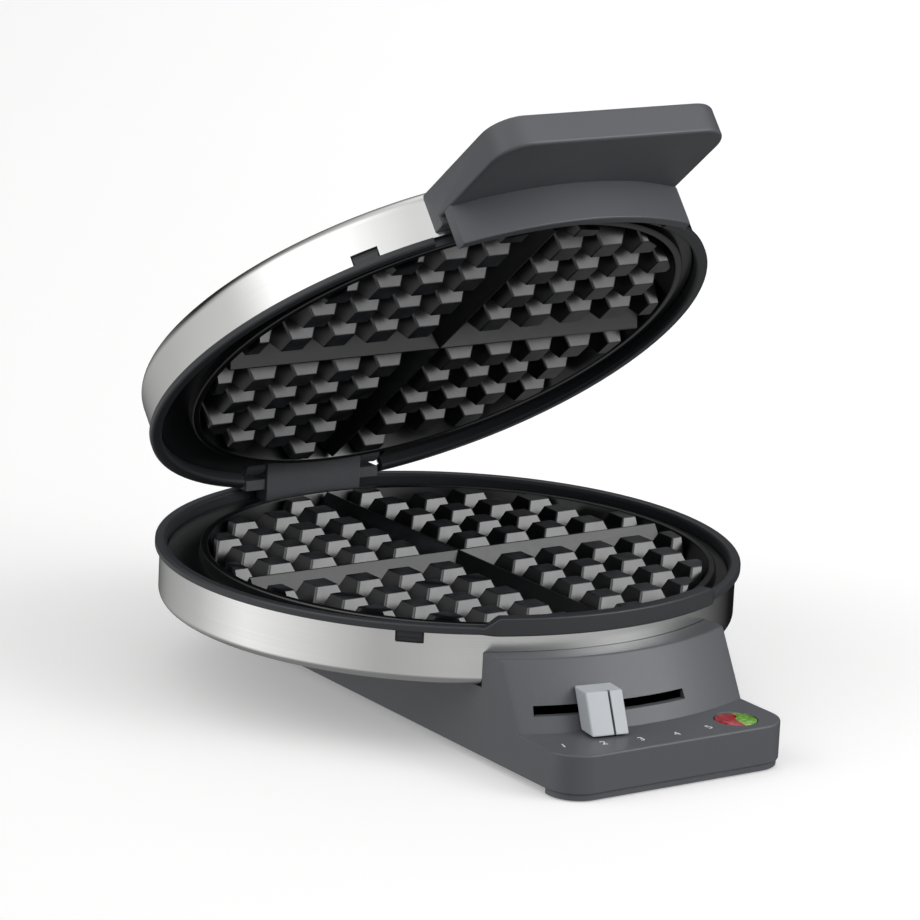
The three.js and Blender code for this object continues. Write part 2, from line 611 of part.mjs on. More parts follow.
add(lid, 'lid_steel_shell', lidShell(), STEEL);
add(lid, 'upper_rim', upperRim(), CHARCOAL);
add(lid, 'upper_cooking_plate', upperPlate(), BLACK);
add(lid, 'upper_heating_element', flip(heater(PLATE_UNDER - GAP - HEATER_R)), ZINC);
add(lid, 'upper_heat_shield', shield(72, 64.3), ZINC);
add(lid, 'upper_thermal_fuse', flip(lyingPin(2, -36, -22, PLATE_UNDER - GAP - 2, 14, 10)), ZINC);
add(lid, 'handle', handle(), CHARCOAL);
HANDLE_SCREWS.forEach((x, i) => add(lid, `handle_screw_${i + 1}`, handleScrew(x), ZINC));
add(lid, 'lid_hinge_bracket', lidBracket(), CHARCOAL);
BRACKET_SCREWS.forEach(([x, y], i) => {
  add(lid, `hinge_bracket_screw_${i + 1}`, screw(x, y, HINGE.z + HINGE.r + GAP + SCREW.headH, 50.8), ZINC);
});

export default waffleMaker;
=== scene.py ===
import json
import math

import bmesh
import bpy
from mathutils import Matrix, Vector


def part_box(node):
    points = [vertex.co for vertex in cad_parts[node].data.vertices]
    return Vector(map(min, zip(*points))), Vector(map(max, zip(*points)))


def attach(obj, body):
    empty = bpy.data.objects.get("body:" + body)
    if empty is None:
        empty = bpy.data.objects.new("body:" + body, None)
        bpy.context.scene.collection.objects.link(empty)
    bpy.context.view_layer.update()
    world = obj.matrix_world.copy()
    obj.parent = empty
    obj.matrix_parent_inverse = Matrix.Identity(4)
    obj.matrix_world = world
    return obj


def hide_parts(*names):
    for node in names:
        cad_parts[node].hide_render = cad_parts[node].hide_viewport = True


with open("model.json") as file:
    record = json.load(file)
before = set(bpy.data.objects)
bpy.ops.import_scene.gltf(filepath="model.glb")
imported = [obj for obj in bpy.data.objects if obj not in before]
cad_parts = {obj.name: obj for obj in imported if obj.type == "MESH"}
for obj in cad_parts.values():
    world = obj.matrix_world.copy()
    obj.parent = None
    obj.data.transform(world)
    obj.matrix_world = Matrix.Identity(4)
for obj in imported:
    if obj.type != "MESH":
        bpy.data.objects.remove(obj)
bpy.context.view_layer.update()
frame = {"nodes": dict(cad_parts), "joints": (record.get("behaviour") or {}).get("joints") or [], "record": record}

# Waffle maker. Shapes are built in millimetres in the machine's own frame (the body axis at
# x = y = 0, the lid closed) and then placed, in metres, where the frame has them.

MM = 0.001


def span(node):
    """Lowest and highest corner of a CAD node, in millimetres."""
    low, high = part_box(node)
    return [v / MM for v in low], [v / MM for v in high]


def joint(name):
    return next(j for j in frame["joints"] if j["name"] == name)


# ---------- dimensions taken from the frame ----------
PAN_LOW, PAN_HIGH = span("lower_steel_shell")
RIM_HIGH = span("lower_rim")[1]
PED_LOW, PED_HIGH = span("pedestal_housing")
POST_LOW = span("hinge_post")[0]
PIN_HIGH = span("hinge_pin")[1]
COVER_LOW, COVER_HIGH = span("bottom_cover")

BODY_Y = (PAN_LOW[1] + PAN_HIGH[1]) / 2
SHELL_R = PAN_HIGH[0]
PAN_BOTTOM = PAN_LOW[2]
PAN_TOP = PAN_HIGH[2]
RIM_R = RIM_HIGH[0]
PED_HALF = PED_HIGH[0]
PED_FRONT = PED_LOW[1] - BODY_Y
PED_BACK = PED_HIGH[1] - BODY_Y
WALL_TOP_Z = PED_HIGH[2]
HINGE_Y = joint("lid_hinge")["pos_m"][1] / MM - BODY_Y
HINGE_Z = joint("lid_hinge")["pos_m"][2] / MM
LID_OPEN = -joint("lid_hinge")["range_deg"][0]

# ---------- other dimensions ----------
GAP = 0.3
RIM_TOP = 44.9
LIP_H = 2.5
LIP_W = 4.0
SHELL_T = 0.9
PAN_CORNER = 3.0
LID_LIFT = 1.0
LID_H = 19.7
LID_CORNER = 4.5
LID_CROWN = 3.2
APRON_TOP = 48.4
APRON_OUT = 100.2
APRON_IN = 95.6
APRON_HALF = 24.6                # degrees

PLATE_Y = -6.0
PLATE_R = 93.6
FLANGE_TOP = 40.9
FLANGE_T = 2.5
RING_R = 86.0
RING_TOP = 44.1
WELL_R = 81.6
STUD_TOP = 44.5
STUD_H = 8.0
STUD_PITCH = 16.35
STUD_FIRST = 14.3
STUD_TOP_W = 8.2
STUD_BASE_W = 15.2
RIDGE_BASE_W = 12.4
RIDGE_TOP_W = 0.6
CASTING_T = 3.2

PED_WALL = 2.5
LEDGE_Z = 15.3
DECK_Z = 24.8
SKIRT_Z = 2.5
WALL_TOP_R = 104.8
WALL_FOOT_R = 115.5
FRONT_CORNER = 11.0
BACK_CORNER = 16.0
SLOT_ANGLES = (-19.6, 8.8)
SLOT_Z = (20.1, 23.2)
DIAL_REST = -8.9
KNOB_W = 13.0
KNOB_DEPTH = 8.0
KNOB_Z = (15.9, 28.6)
LENS = (28.8, -123.7)
LENS_R = 6.8
LENS_TURN = 80.0                 # degrees, line that parts the two colours
DIGIT_R = 128.0
DIGIT_H = 3.2
DIGIT_ANGLES = tuple(-17 + 6 * step for step in range(5))

HINGE_R = 5.8
PIN_R = 2.0
HINGE_HALF = 19.3
EAR_T = 8.0
EAR_ROOM = HINGE_HALF + EAR_T + 1
GRIP_Z = (53.0, 63.8)
GRIP_FRONT = -135.6
SKIRT_R = 107.5
SKIRT_FOOT = 39.6
SKIRT_T = 3.7

TABS = (-41.0, 79.0, 199.0)      # degrees round the rim, from the front
TAB_HALF = 2.35
NOTCH_HALF = 2.7
NOTCH_H = 3.6
MATING_Z = RIM_TOP + LID_LIFT / 2

SEG = 192

# ---------- where each body stands ----------
BODY_FRAME = Matrix.Translation((0, BODY_Y * MM, 0))
HINGE_POINT = Vector((0, HINGE_Y * MM, HINGE_Z * MM))
FRAMES = {
    "base": BODY_FRAME,
    "lid": BODY_FRAME @ Matrix.Translation(HINGE_POINT)
    @ Matrix.Rotation(-math.radians(LID_OPEN), 4, "X") @ Matrix.Translation(-HINGE_POINT),
    "browning_control": BODY_FRAME @ Matrix.Rotation(math.radians(DIAL_REST), 4, "Z"),
}


# ---------- outlines ----------
def rounded(corners, steps=6):
    """Closed outline from (u, v, radius) corners, each corner an arc."""
    outline = []
    count = len(corners)
    for i, (u, v, radius) in enumerate(corners):
        here = Vector((u, v))
        if radius <= 0:
            outline.append((u, v))
            continue
        before = (Vector(corners[i - 1][:2]) - here).normalized()
        after = (Vector(corners[(i + 1) % count][:2]) - here).normalized()
        half = before.angle(after) / 2
        reach = radius / math.tan(half)
        centre = here + (before + after).normalized() * (radius / math.sin(half))
        start = here + before * reach - centre
        end = here + after * reach - centre
        turn = start.angle_signed(end)
        for k in range(steps + 1):
            p = start.copy()
            p.rotate(Matrix.Rotation(-turn * k / steps, 2))
            outline.append(tuple(centre + p))
    return outline


def inset(outline, depth):
    """Outline moved inward by depth; it runs counter-clockwise."""
    moved = []
    count = len(outline)
    for i in range(count):
        here = Vector(outline[i])
        before = (here - Vector(outline[i - 1])).normalized()
        after = (Vector(outline[(i + 1) % count]) - here).normalized()
        normal = Vector((-before.y - after.y, before.x + after.x))
        scale = depth / max(0.2, math.cos(before.angle(after) / 2))
        moved.append(tuple(here + normal.normalized() * scale))
    return moved


def arc(u, v, radius, start, end, steps):
    """Points on an arc, in degrees, from start to end."""
    angles = [math.radians(start + (end - start) * k / steps) for k in range(steps + 1)]
    return [(u + radius * math.cos(a), v + radius * math.sin(a)) for a in angles]


def polar(radius, degrees):
    """Plan point at an angle from the front, positive to the right."""
    a = math.radians(degrees)
    return radius * math.sin(a), -radius * math.cos(a)


def slab_outline(half, front, back, front_r, back_r):
    return rounded([(-half, front, front_r), (half, front, front_r),
                    (half, back, back_r), (-half, back, back_r)], 10)


# ---------- solids ----------
def solid(verts, faces):
    """Scene object for a closed mesh, with its faces turned outward."""
    mesh = bpy.data.meshes.new("solid")
    mesh.from_pydata([(x * MM, y * MM, z * MM) for x, y, z in verts], [], faces)
    work = bmesh.new()
    work.from_mesh(mesh)
    bmesh.ops.recalc_face_normals(work, faces=work.faces)
    work.to_mesh(mesh)
    work.free()
    obj = bpy.data.objects.new("solid", mesh)
    bpy.context.scene.collection.objects.link(obj)
    return obj


def loft(sections):
    """Solid through sections of 3-D points, all with the same count."""
    count = len(sections[0])
    verts = [p for section in sections for p in section]
    faces = []
    for s in range(len(sections) - 1):
        a, b = s * count, (s + 1) * count
        for i in range(count):
            j = (i + 1) % count
            faces.append((a + i, a + j, b + j, b + i))
    faces.append(tuple(range(count)))
    faces.append(tuple(range(len(verts) - count, len(verts))))
    return solid(verts, faces)


def edge_steps(z0, z1, low_r, high_r, steps=4):
    """(height, inset) pairs for a block with rounded lower and upper edges."""
    turns = [math.radians(90 * k / steps) for k in range(steps + 1)]
    low = [(z0 + low_r * (1 - math.sin(t)), low_r * (1 - math.cos(t))) for t in reversed(turns)]
    high = [(z1 - high_r * (1 - math.sin(t)), high_r * (1 - math.cos(t))) for t in turns]
    return (low if low_r else [(z0, 0)]) + (high if high_r else [(z1, 0)])


def block(outline, z0, z1, low_r=0.0, high_r=0.0):
    """Plan outline raised from z0 to z1 with rounded edges."""
    levels = edge_steps(z0, z1, low_r, high_r)
    return loft([[(x, y, z) for x, y in inset(outline, d)] for z, d in levels])


def sideways(outline, x0, x1, edge=0.0):
    """Side outline of (y, z) points spread across x, with rounded ends."""
    levels = edge_steps(x0, x1, edge, edge)
    return loft([[(x, y, z) for y, z in inset(outline, d)] for x, d in levels])


def box(x0, x1, y0, y1, z0, z1):
    return block([(x0, y0), (x1, y0), (x1, y1), (x0, y1)], z0, z1)


def lathe(points, seg=SEG, x=0.0, y=0.0):
    """Solid of revolution from (radius, z) points; both ends on the axis, or a closed loop."""
    verts, rows = [], []
    for r, z in points:
        around = 1 if r < 1e-6 else seg
        rows.append([len(verts) + i for i in range(around)])
        for i in range(around):
            px, py = polar(r, 360 * i / seg)
            verts.append((x + px, y + py, z))
    on_axis = len(rows[0]) == 1 and len(rows[-1]) == 1
    faces = []
    for a, b in zip(rows, rows[1:] + ([] if on_axis else rows[:1])):
        for i in range(seg):
            j = (i + 1) % seg
            corners = (a[i % len(a)], a[j % len(a)], b[j % len(b)], b[i % len(b)])
            faces.append(tuple(dict.fromkeys(corners)))
    return solid(verts, faces)


def disc(r, z0, z1, x=0.0, y=0.0, seg=SEG):
    return lathe([(0, z0), (r, z0), (r, z1), (0, z1)], seg, x, y)


def lying(points, x=0.0, z=0.0, seg=48):
    """Solid of revolution about a line along y, from (radius, y) points."""
    obj = lathe(points, seg)
    obj.data.transform(Matrix(((1, 0, 0, x * MM), (0, 0, 1, 0), (0, 1, 0, z * MM), (0, 0, 0, 1))))
    obj.data.flip_normals()
    return obj


def across(points, seg=64):
    """Solid of revolution about the hinge axis, from (radius, x) points."""
    obj = lathe(points, seg)
    turn = Matrix(((0, 0, 1, 0), (1, 0, 0, HINGE_Y * MM), (0, 1, 0, HINGE_Z * MM), (0, 0, 0, 1)))
    obj.data.transform(turn)
    return obj


def sector(r0, r1, start, end, z0, z1, steps=24):
    """Block between two radii and two angles."""
    angles = [start + (end - start) * k / steps for k in range(steps + 1)]
    outline = [polar(r1, a) for a in angles] + [polar(r0, a) for a in reversed(angles)]
    return block(outline, z0, z1)


def arc_bar(sections):
    """Bar along an arc, from (angle, inner radius, outer radius, low z, high z, edge radius)."""
    rows = []
    for angle, r0, r1, z0, z1, edge in sections:
        profile = rounded([(r0, z0, edge), (r1, z0, edge), (r1, z1, edge), (r0, z1, edge)], 4)
        rows.append([(*polar(r, angle), z) for r, z in profile])
    return loft(rows)


# ---------- joining, cutting and smoothing ----------
def bake(obj):
    """Applies the object's modifiers."""
    graph = bpy.context.evaluated_depsgraph_get()
    mesh = bpy.data.meshes.new_from_object(obj.evaluated_get(graph))
    old = obj.data
    obj.modifiers.clear()
    obj.data = mesh
    bpy.data.meshes.remove(old)
    return obj


def combine(obj, tools, operation):
    for tool in tools:
        step = obj.modifiers.new("step", "BOOLEAN")
        step.solver = "MANIFOLD"
        step.operation = operation
        step.object = tool
    bake(obj)
    for tool in tools:
        bpy.data.meshes.remove(tool.data)
    return obj


def join(obj, *tools):
    return combine(obj, tools, "UNION")


def cut(obj, *tools):
    return combine(obj, tools, "DIFFERENCE")


def common(obj, *tools):
    return combine(obj, tools, "INTERSECT")


def soup(objects):
    """Several separate solids as one object."""
    first = objects[0]
    work = bmesh.new()
    for obj in objects:
        work.from_mesh(obj.data)
    work.to_mesh(first.data)
    work.free()
    for obj in objects[1:]:
        bpy.data.meshes.remove(obj.data)
    return first


def bevelled(obj, width, angle=40, segments=2):
    edge = obj.modifiers.new("edge", "BEVEL")
    edge.width = width * MM
    edge.segments = segments
    edge.limit_method = "ANGLE"
    edge.angle_limit = math.radians(angle)
    edge.use_clamp_overlap = True
    return bake(obj)


def flip(obj):
    """Mirrors a solid from the lower half to the lid, about the mating plane."""
    mirror = Matrix.Diagonal((1, 1, -1, 1))
    mirror[2][3] = 2 * MATING_Z * MM
    obj.data.transform(mirror)
    obj.data.flip_normals()
    return obj


def place(obj, name, body, slot, *nodes, crease=32, look=None):
    """Names a piece, puts it on its body and hides the CAD nodes that it stands for."""
    obj.name = name
    obj.data.name = name
    obj.data.shade_smooth()
    obj.data.set_sharp_from_angle(angle=math.radians(crease))
    even = obj.modifiers.new("even", "WEIGHTED_NORMAL")
    even.keep_sharp = True
    obj.matrix_world = FRAMES[body]
    obj.data.materials.clear()
    obj.data.materials.append(FINISHES[look or slot])
    if nodes:
        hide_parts(*nodes)
    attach(obj, body)
    return obj


# ---------- materials ----------
class Look:
    """A Principled material with helpers for its procedural nodes."""

    def __init__(self, name, roughness, metallic=0.0, **constants):
        self.material = bpy.data.materials.new(name)
        self.material.use_nodes = True
        self.tree = self.material.node_tree
        self.shader = self.tree.nodes["Principled BSDF"]
        self.shader.inputs["Roughness"].default_value = roughness
        self.shader.inputs["Metallic"].default_value = metallic
        for key, value in constants.items():
            self.shader.inputs[key.replace("_", " ")].default_value = value
        self.place = self.add("ShaderNodeTexCoord").outputs["Object"]

    def add(self, kind, **inputs):
        node = self.tree.nodes.new(kind)
        for key, value in inputs.items():
            slot = node.inputs[int(key[1:])] if key[0] == "_" else node.inputs[key.replace("_", " ")]
            if isinstance(value, bpy.types.NodeSocket):
                self.tree.links.new(value, slot)
            else:
                slot.default_value = value
        return node

    def stretch(self, scale):
        return self.add("ShaderNodeMapping", Vector=self.place, Scale=scale).outputs[0]

    def noise(self, scale, detail=2.0, where=None):
        node = self.add("ShaderNodeTexNoise", Vector=where or self.place, Scale=scale, Detail=detail)
        return node.outputs["Fac"]

    def ramp(self, fac, *stops):
        node = self.add("ShaderNodeValToRGB", Fac=fac)
        elements = node.color_ramp.elements
        while len(elements) < len(stops):
            elements.new(0.5)
        for element, (at, colour) in zip(elements, stops):
            element.position = at
            element.color = (*colour, 1) if len(colour) == 3 else colour
        return node.outputs["Color"]

    def mix(self, fac, a, b):
        node = self.tree.nodes.new("ShaderNodeMix")
        node.data_type = "RGBA"
        for slot, value in zip((node.inputs[0], node.inputs[6], node.inputs[7]), (fac, a, b)):
            if isinstance(value, bpy.types.NodeSocket):
                self.tree.links.new(value, slot)
            else:
                slot.default_value = value if isinstance(value, float) else (*value, 1)
        return node.outputs[2]

    def math(self, operation, a, b=0.0):
        node = self.add("ShaderNodeMath", _0=a, _1=b)
        node.operation = operation
        return node.outputs[0]

    def span(self, fac, low, high):
        """Maps 0..1 to low..high."""
        return self.add("ShaderNodeMapRange", Value=fac, To_Min=low, To_Max=high).outputs[0]

    def bump(self, height, strength, distance, normal=None):
        inputs = dict(Height=height, Strength=strength, Distance=distance * MM)
        if normal:
            inputs["Normal"] = normal
        return self.add("ShaderNodeBump", **inputs).outputs[0]

    def finish(self, colour=None, roughness=None, normal=None):
        for key, value in (("Base Color", colour), ("Roughness", roughness), ("Normal", normal)):
            if value is not None:
                self.tree.links.new(value, self.shader.inputs[key])
        return self.material


def tone(colour, factor):
    return tuple(min(1.0, c * factor) for c in colour)


def worn_edges(look, low=0.53, high=0.62):
    """1 along convex edges, 0 elsewhere, broken up by noise."""
    pointiness = look.add("ShaderNodeNewGeometry").outputs["Pointiness"]
    ramp = look.add("ShaderNodeMapRange", Value=pointiness, From_Min=low, From_Max=high).outputs[0]
    return look.math("MULTIPLY", ramp, look.noise(260, 4))


def moulded_plastic(name, colour, roughness, grain=0.12, grain_scale=2600):
    look = Look(name, roughness, Specular_IOR_Level=0.45)
    clouds = look.noise(22, 3)
    base = look.mix(clouds, tone(colour, 0.94), tone(colour, 1.06))
    base = look.mix(look.math("MULTIPLY", worn_edges(look), 0.5), base, tone(colour, 1.7))
    fine = look.noise(grain_scale, 3)
    gloss = look.span(look.noise(60, 4), roughness - 0.05, roughness + 0.06)
    relief = look.bump(fine, grain, 0.05)
    return look.finish(base, gloss, relief)


def nonstick():
    look = Look("nonstick_coating", 0.3, Specular_IOR_Level=0.9)
    dark, light = (0.0018, 0.0022, 0.0028), (0.0030, 0.0036, 0.0045)
    base = look.mix(look.noise(35, 4), dark, light)
    base = look.mix(look.math("MULTIPLY", worn_edges(look), 0.5), base, (0.12, 0.125, 0.14))
    flecks = look.ramp(look.noise(3800, 2), (0.72, (0, 0, 0)), (0.78, (1, 1, 1)))
    base = look.mix(look.math("MULTIPLY", flecks, 0.3), base, (0.03, 0.03, 0.033))
    gloss = look.span(look.noise(140, 4), 0.26, 0.36)
    peel = look.bump(look.noise(1300, 3), 0.12, 0.05)
    return look.finish(base, gloss, peel)


def brushed_steel():
    look = Look("brushed_steel", 0.3, 1.0, Anisotropic=0.55, Anisotropic_Rotation=0.25)
    look.tree.links.new(look.add("ShaderNodeTangent").outputs[0], look.shader.inputs["Tangent"])
    round_lines = look.noise(1.0, 3, look.stretch((14, 14, 5200)))
    straight_lines = look.noise(1.0, 3, look.stretch((14, 5200, 14)))
    facing = look.add("ShaderNodeTexCoord").outputs["Normal"]
    upward = look.math("ABSOLUTE", look.add("ShaderNodeSeparateXYZ", Vector=facing).outputs[2])
    on_top = look.add("ShaderNodeMapRange", Value=upward, From_Min=0.6, From_Max=0.95).outputs[0]
    lines = look.mix(on_top, round_lines, straight_lines)
    clouds = look.noise(18, 3)
    base = look.mix(clouds, (0.76, 0.765, 0.75), (0.82, 0.825, 0.81))
    base = look.mix(look.math("MULTIPLY", lines, 0.12), base, (0.5, 0.5, 0.5))
    gloss = look.span(lines, 0.17, 0.27)
    relief = look.bump(lines, 0.05, 0.01)
    return look.finish(base, gloss, relief)


def plated_steel():
    look = Look("plated_steel", 0.38, 1.0)
    base = look.mix(look.noise(90, 4), (0.52, 0.52, 0.53), (0.66, 0.66, 0.67))
    gloss = look.span(look.noise(300, 4), 0.3, 0.46)
    return look.finish(base, gloss, look.bump(look.noise(1500, 3), 0.15, 0.03))


def rubber():
    look = Look("rubber", 0.82)
    base = look.mix(look.noise(120, 4), (0.013, 0.013, 0.013), (0.026, 0.026, 0.026))
    return look.finish(base, None, look.bump(look.noise(1800, 3), 0.3, 0.05))


def lens_plastic(name, dark, light):
    """Clear coloured plastic with a faceted inner face; each facet is painted lighter towards its centre as a
    painted glint.
    """
    look = Look(name, 0.14, Coat_Weight=0.6, Coat_Roughness=0.06)
    facets = look.add("ShaderNodeTexVoronoi", Vector=look.place, Scale=620.0)
    # Painted highlight: each facet goes from the light colour at its centre to the dark colour at its edge,
    # standing in for the glints of a prismatic lens; noise then fades these painted glints part way back to the
    # dark colour.
    glow = look.mix(look.ramp(facets.outputs["Distance"], (0.05, (1, 1, 1)), (0.75, (0, 0, 0))), dark, light)
    glow = look.mix(look.span(look.noise(200, 2), 0.0, 0.5), glow, dark)
    relief = look.bump(facets.outputs["Distance"], 0.25, 0.1)
    return look.finish(glow, None, relief)


FINISHES = {
    "charcoal_plastic": moulded_plastic("charcoal_plastic", (0.104, 0.109, 0.120), 0.38),
    "rim_plastic": moulded_plastic("rim_plastic", (0.036, 0.040, 0.045), 0.36),
    "black_plastic": moulded_plastic("black_plastic", (0.014, 0.014, 0.015), 0.5),
    "brushed_steel": brushed_steel(),
    "nonstick_coating": nonstick(),
    "plated_steel": plated_steel(),
    "silver_plastic": moulded_plastic("silver_plastic", (0.52, 0.545, 0.57), 0.36, 0.06, 3200),
    "rubber": rubber(),
    "white_moulding": moulded_plastic("white_moulding", (0.66, 0.63, 0.56), 0.6),
    "red_lens": lens_plastic("red_lens", (0.30, 0.004, 0.012), (0.72, 0.05, 0.06)),
    "green_lens": lens_plastic("green_lens", (0.13, 0.36, 0.03), (0.48, 0.80, 0.22)),
    "white_print": moulded_plastic("white_print", (0.72, 0.72, 0.73), 0.55, 0.05),
}


# ---------- pedestal ----------
def wall_radius(z):
    slope = (WALL_FOOT_R - WALL_TOP_R) / (WALL_TOP_Z - LEDGE_Z)
    return WALL_TOP_R + slope * (WALL_TOP_Z - z)


def wall_outline(z, thin=0.0, corner=0.7):
    """Plan of the pedestal's upper part: a round front wall between flat sides."""
    r, half = wall_radius(z) - thin, PED_HALF - thin
    reach = math.degrees(math.asin((half - corner) / r))
    front = [polar(r, -reach + 2 * reach * k / 48) for k in range(49)]
    foot = -math.sqrt(r * r - half * half)
    left = [(-half, foot + corner), (-half + corner * 0.3, foot + corner * 0.25)]
    right = [(half - corner * 0.3, foot + corner * 0.25), (half, foot + corner)]
    back_r = BACK_CORNER - thin
    back = PED_BACK - thin
    rear = arc(half - back_r, back - back_r, back_r, 0, 90, 10)
    rear += arc(-half + back_r, back - back_r, back_r, 90, 180, 10)
    return front + right + rear + left


def pedestal():
    low = block(slab_outline(PED_HALF, PED_FRONT, PED_BACK, FRONT_CORNER, BACK_CORNER),
                SKIRT_Z, LEDGE_Z, 0.5, 0.7)
    toe = block(slab_outline(PED_HALF - 0.8, PED_FRONT + 0.6, PED_FRONT + 13, FRONT_CORNER - 0.8, 0.4),
                PED_LOW[2], LEDGE_Z - 5, 0.3, 0)
    crown = [(WALL_TOP_Z - 0.5, 0.0), (WALL_TOP_Z - 0.15, 0.15), (WALL_TOP_Z, 0.5)]
    levels = [(LEDGE_Z - 3, 0.0)] + crown
    high = loft([[(x, y, z) for x, y in wall_outline(z, thin)] for z, thin in levels])
    body = cut(join(low, toe, high), disc(SHELL_R + GAP, DECK_Z, WALL_TOP_Z + 1))
    inner = slab_outline(PED_HALF - PED_WALL, PED_FRONT + PED_WALL, PED_BACK - PED_WALL,
                         FRONT_CORNER - PED_WALL, BACK_CORNER - PED_WALL)
    under = block(inner, PED_LOW[2] - 1, LEDGE_Z - PED_WALL)
    top = DECK_Z - PED_WALL
    room = loft([[(x, y, z) for x, y in wall_outline(z, PED_WALL)] for z in (LEDGE_Z - 4, top)])
    start, end = SLOT_ANGLES
    slot = sector(90, 120, start, end, *SLOT_Z, 32)
    relief = sector(90, wall_radius(SLOT_Z[1]) - 0.7, start - 1, end + 1, SLOT_Z[0] - 1, top, 32)
    lens_hole = disc(LENS_R + GAP, 5, LEDGE_Z + 1, *LENS, 64)
    lens_rim = lathe([(0, LEDGE_Z - 0.3), (LENS_R + GAP, LEDGE_Z - 0.3), (LENS_R + 0.8, LEDGE_Z + 0.3),
                      (0, LEDGE_Z + 0.3)], 64, *LENS)
    spindle_hole = disc(5, 20, 30, seg=48)
    cord_hole = lying([(0, PED_BACK - 10), (5.5, PED_BACK - 10), (5.5, PED_BACK + 5), (0, PED_BACK + 5)],
                      z=13)
    cut(body, join(under, room), slot, relief, lens_hole, lens_rim, spindle_hole, cord_hole)
    return place(body, "pedestal", "base", "charcoal_plastic", "pedestal_housing")


def bottom_cover():
    edge = PED_WALL + GAP
    z0, z1 = COVER_LOW[2], COVER_HIGH[2]
    plate = block(slab_outline(PED_HALF - edge, PED_FRONT + edge, PED_BACK - edge,
                               FRONT_CORNER - edge, BACK_CORNER - edge), z0, z1, 0.6, 0.2)
    half_length, half_width = 14, 1.6
    vents = []
    for y in (-30, -10, 10, 30):
        low_y, high_y = y - half_width, y + half_width
        slit = rounded([(-half_length, low_y, 1.5), (half_length, low_y, 1.5),
                        (half_length, high_y, 1.5), (-half_length, high_y, 1.5)])
        vents.append(block(slit, z0 - 1, z1 + 1))
    recesses = [disc(4.0, z0 - 1, z0 + 0.7, x, y, 40) for x, y in COVER_SCREWS]
    cut(plate, *vents, *recesses)
    return place(plate, "bottom_cover_plate", "base", "black_plastic", "bottom_cover")


def centre_of(node):
    low, high = span(node)
    return (low[0] + high[0]) / 2, (low[1] + high[1]) / 2 - BODY_Y


COVER_SCREWS = [centre_of(f"cover_screw_{i}") for i in range(1, 5)]


def foot(node):
    """Rubber foot with a dished tread."""
    x, y = centre_of(node)
    low, high = span(node)
    tread = [(0, low[2] + 0.9), (3.2, low[2] + 0.9), (3.8, low[2] + 0.1), (4.4, low[2])]
    wall = arc(5.6, low[2] + 0.9, 0.9, -90, 0, 4)
    profile = tread + wall + [(6.7, 1.9), (6.95, 2.2), (6.95, 2.8), (6.5, high[2]), (0, high[2])]
    return place(lathe(profile, 64, x, y), node + "_rubber", "base", "rubber", node)


def pan_head_screw(node):
    """Pan-head screw with a cross recess."""
    low, high = span(node)
    x, y = centre_of(node)
    z = low[2]
    dome = [(0, z), (1.6, z + 0.05), (2.4, z + 0.25), (2.9, z + 0.75), (3.0, z + 1.4)]
    profile = dome + [(1.5, z + 1.4), (1.5, high[2] - 1.2), (0.4, high[2]), (0, high[2])]
    body_solid = lathe(profile, 40, x, y)
    cross = join(box(x - 1.7, x + 1.7, y - 0.3, y + 0.3, z - 0.5, z + 0.8),
                 box(x - 0.3, x + 0.3, y - 1.7, y + 1.7, z - 0.5, z + 0.8))
    cut(body_solid, cross)
    return place(body_solid, node + "_steel", "base", "plated_steel", node)


def cord_bush():
    """Rubber bush in the rear wall."""
    y0, y1 = PED_BACK - 6, PED_BACK + 4
    bore, neck, collar = 3.6, 5.2, 7.2
    profile = [(bore, y0)] + [(neck, y0), (neck, PED_BACK + GAP)]
    profile += [(collar, PED_BACK + GAP)] + arc(collar - 1.2, y1 - 1.2, 1.2, 0, 90, 5)
    profile += arc(bore + 0.8, y1 - 0.8, 0.8, 90, 180, 5)
    bush = lying(profile, z=13, seg=64)
    return place(bush, "cord_bush", "base", "rubber", "cord_inlet_bush")


def digits():
    """Browning numbers 1 to 5 printed on the ledge along the knob's travel."""
    for number, angle in enumerate(DIGIT_ANGLES, 1):
        curve = bpy.data.curves.new(f"digit_{number}", "FONT")
        curve.body = str(number)
        curve.size = DIGIT_H * 1.35 * MM
        curve.extrude = 0.03 * MM
        curve.align_x = "CENTER"
        curve.align_y = "CENTER"
        text = bpy.data.objects.new("text", curve)
        bpy.context.scene.collection.objects.link(text)
        graph = bpy.context.evaluated_depsgraph_get()
        mesh = bpy.data.meshes.new_from_object(text.evaluated_get(graph))
        bpy.data.objects.remove(text)
        obj = bpy.data.objects.new("digit", mesh)
        bpy.context.scene.collection.objects.link(obj)
        px, py = polar(DIGIT_R, angle)
        turn = Matrix.Rotation(math.radians(angle), 4, "Z")
        mesh.transform(Matrix.Translation((px * MM, py * MM, (LEDGE_Z + 0.03) * MM)) @ turn)
        place(obj, f"browning_digit_{number}", "base", "white_print")


